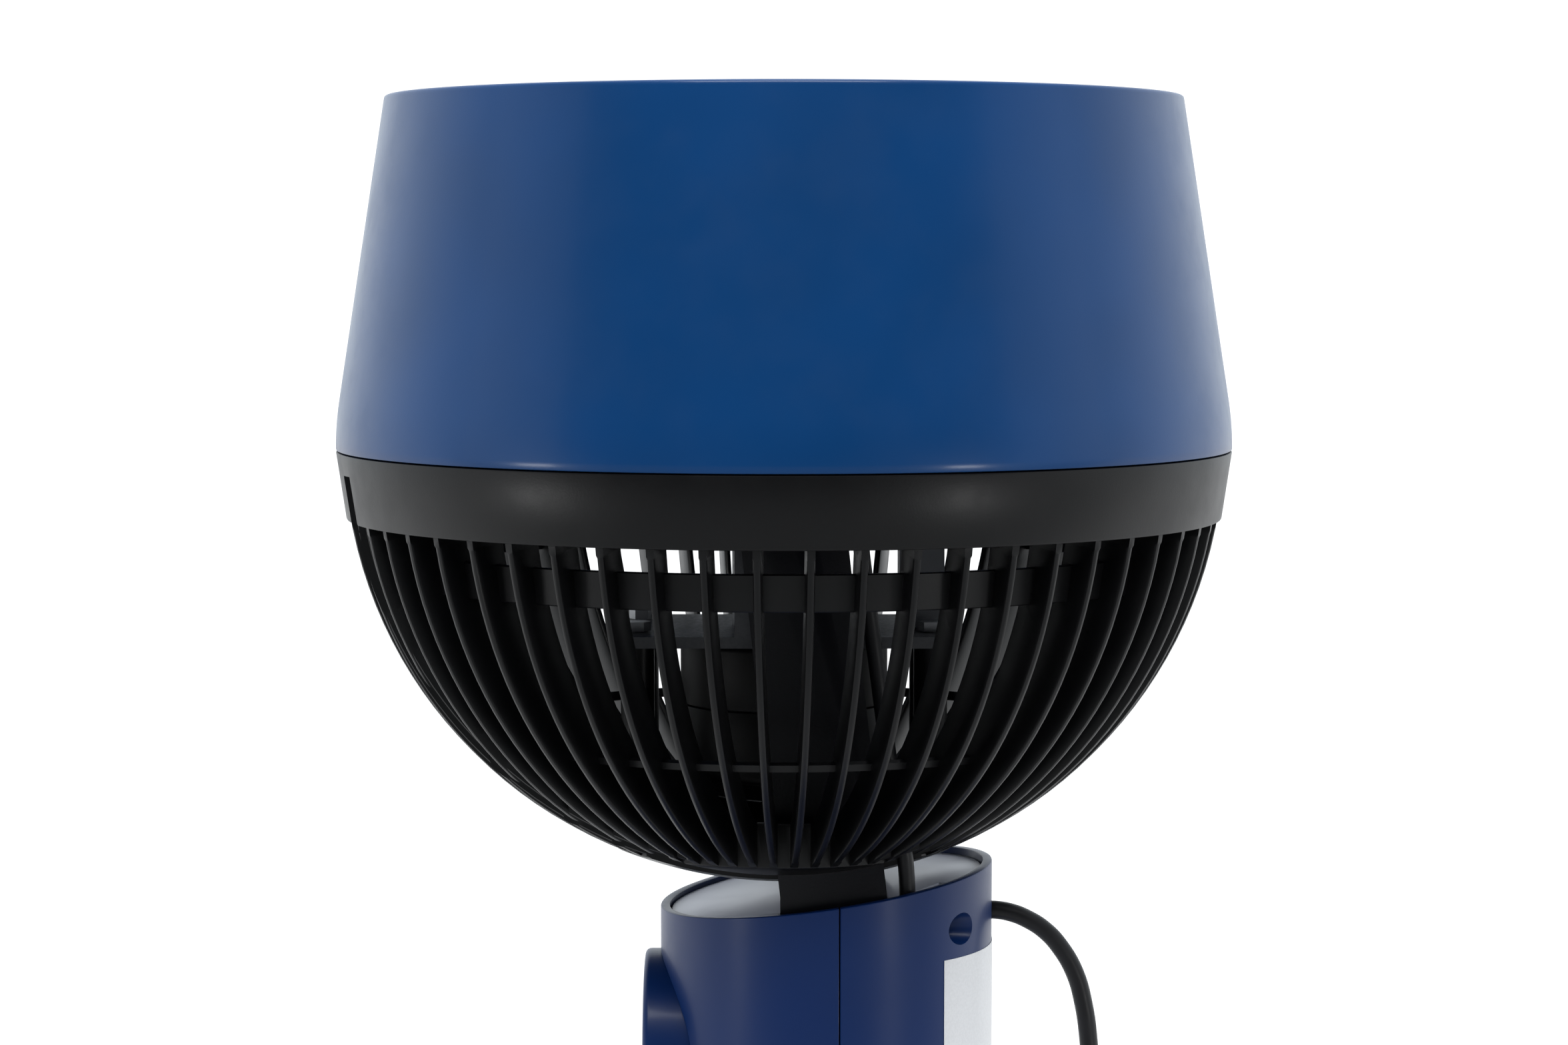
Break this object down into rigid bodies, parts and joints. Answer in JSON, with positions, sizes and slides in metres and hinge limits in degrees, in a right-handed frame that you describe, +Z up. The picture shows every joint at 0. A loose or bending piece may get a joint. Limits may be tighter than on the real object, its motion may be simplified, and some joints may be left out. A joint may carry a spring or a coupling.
{
  "type": "air circulator fan",
  "caption": "Air circulator fan with a conical outlet shroud and a ribbed ball-shaped rear grille that tilts in a fork on a round column and weighted base.",
  "frame": {"origin": "on the table, straight below the middle of the head and of its tilt axis", "axes": "+Z up; -Y towards the front, where the speed dial is; +X along the tilt axis"},
  "size_m": [0.24, 0.3222, 0.3672],
  "materials": {
    "shroud_plastic": "smooth moulded plastic, satin gloss, blue",
    "column_plastic": "fine-textured moulded plastic, navy blue",
    "grille_plastic": "satin moulded plastic, near black",
    "fork_paint": "satin black powder coat on steel plate",
    "silver_plastic": "silver-grey moulded plastic",
    "switch_plastic": "grey moulded plastic",
    "washer_nylon": "white nylon",
    "screw_steel": "zinc-plated steel",
    "motor_steel": "black enamelled pressed steel",
    "lamination_steel": "bare stacked steel",
    "bracket_aluminium": "die-cast, as cast",
    "bushing_bronze": "sintered bronze",
    "foot_rubber": "soft black rubber",
    "cord_rubber": "satin black flexible cord sheath"
  },
  "bodies": {
    "stand": {"base_cover": "column_plastic", "base_plate": "grille_plastic", "ballast_disc": "screw_steel", "foot_pad_1": "foot_rubber", "foot_pad_2": "foot_rubber", "foot_pad_3": "foot_rubber", "foot_pad_4": "foot_rubber", "base_screw_1": "screw_steel", "base_screw_2": "screw_steel", "base_screw_3": "screw_steel", "column_front_shell": "column_plastic", "column_rear_shell": "column_plastic", "column_cap": "silver_plastic", "column_screw_upper_right": "screw_steel", "column_screw_upper_left": "screw_steel", "column_screw_lower_right": "screw_steel", "column_screw_lower_left": "screw_steel", "fork_foot": "grille_plastic", "fork_prong_right": "fork_paint", "fork_prong_left": "fork_paint", "prong_screw_right": "screw_steel", "prong_screw_left": "screw_steel", "fork_screw_right": "screw_steel", "fork_screw_left": "screw_steel", "pivot_pin_right": "fork_paint", "pivot_pin_left": "fork_paint", "pivot_nut_right": "screw_steel", "pivot_nut_left": "screw_steel", "friction_washer_right": "washer_nylon", "friction_washer_left": "washer_nylon", "rotary_switch": "switch_plastic", "switch_nut": "screw_steel", "cord_gland": "cord_rubber", "mains_cord": "cord_rubber", "mains_cord_coil": "cord_rubber", "mains_plug": "cord_rubber", "motor_lead": "cord_rubber", "lead_clip": "grille_plastic"},
    "dial": {"speed_dial": "column_plastic", "switch_shaft": "screw_steel"},
    "head": {"outlet_shroud": "shroud_plastic", "front_grille": "grille_plastic", "grille_badge": "silver_plastic", "rear_grille": "grille_plastic", "tilt_bracket": "bracket_aluminium", "motor_front_shell": "motor_steel", "motor_rear_shell": "motor_steel", "stator": "lamination_steel", "bushing_front": "bushing_bronze", "bushing_rear": "bushing_bronze", "capacitor": "switch_plastic", "bracket_screw_1": "screw_steel", "bracket_screw_2": "screw_steel", "bracket_screw_3": "screw_steel", "bracket_screw_4": "screw_steel"},
    "impeller": {"impeller": "grille_plastic", "motor_shaft": "screw_steel", "rotor": "lamination_steel", "spinner_nut": "grille_plastic"}
  },
  "joints": [
    {"name": "head_tilt", "type": "hinge", "parent": "stand", "child": "head", "pos_m": [0, 0, 0.275], "axis": [1, 0, 0], "range_deg": [0, 84]},
    {"name": "impeller_spin", "type": "hinge", "parent": "head", "child": "impeller", "pos_m": [0, 0, 0.3], "axis": [0, 0, 1], "continuous": true},
    {"name": "dial_turn", "type": "hinge", "parent": "stand", "child": "dial", "pos_m": [0, -0.03, 0.10974], "axis": [0, 1, 0], "range_deg": [0, 135]}
  ]
}
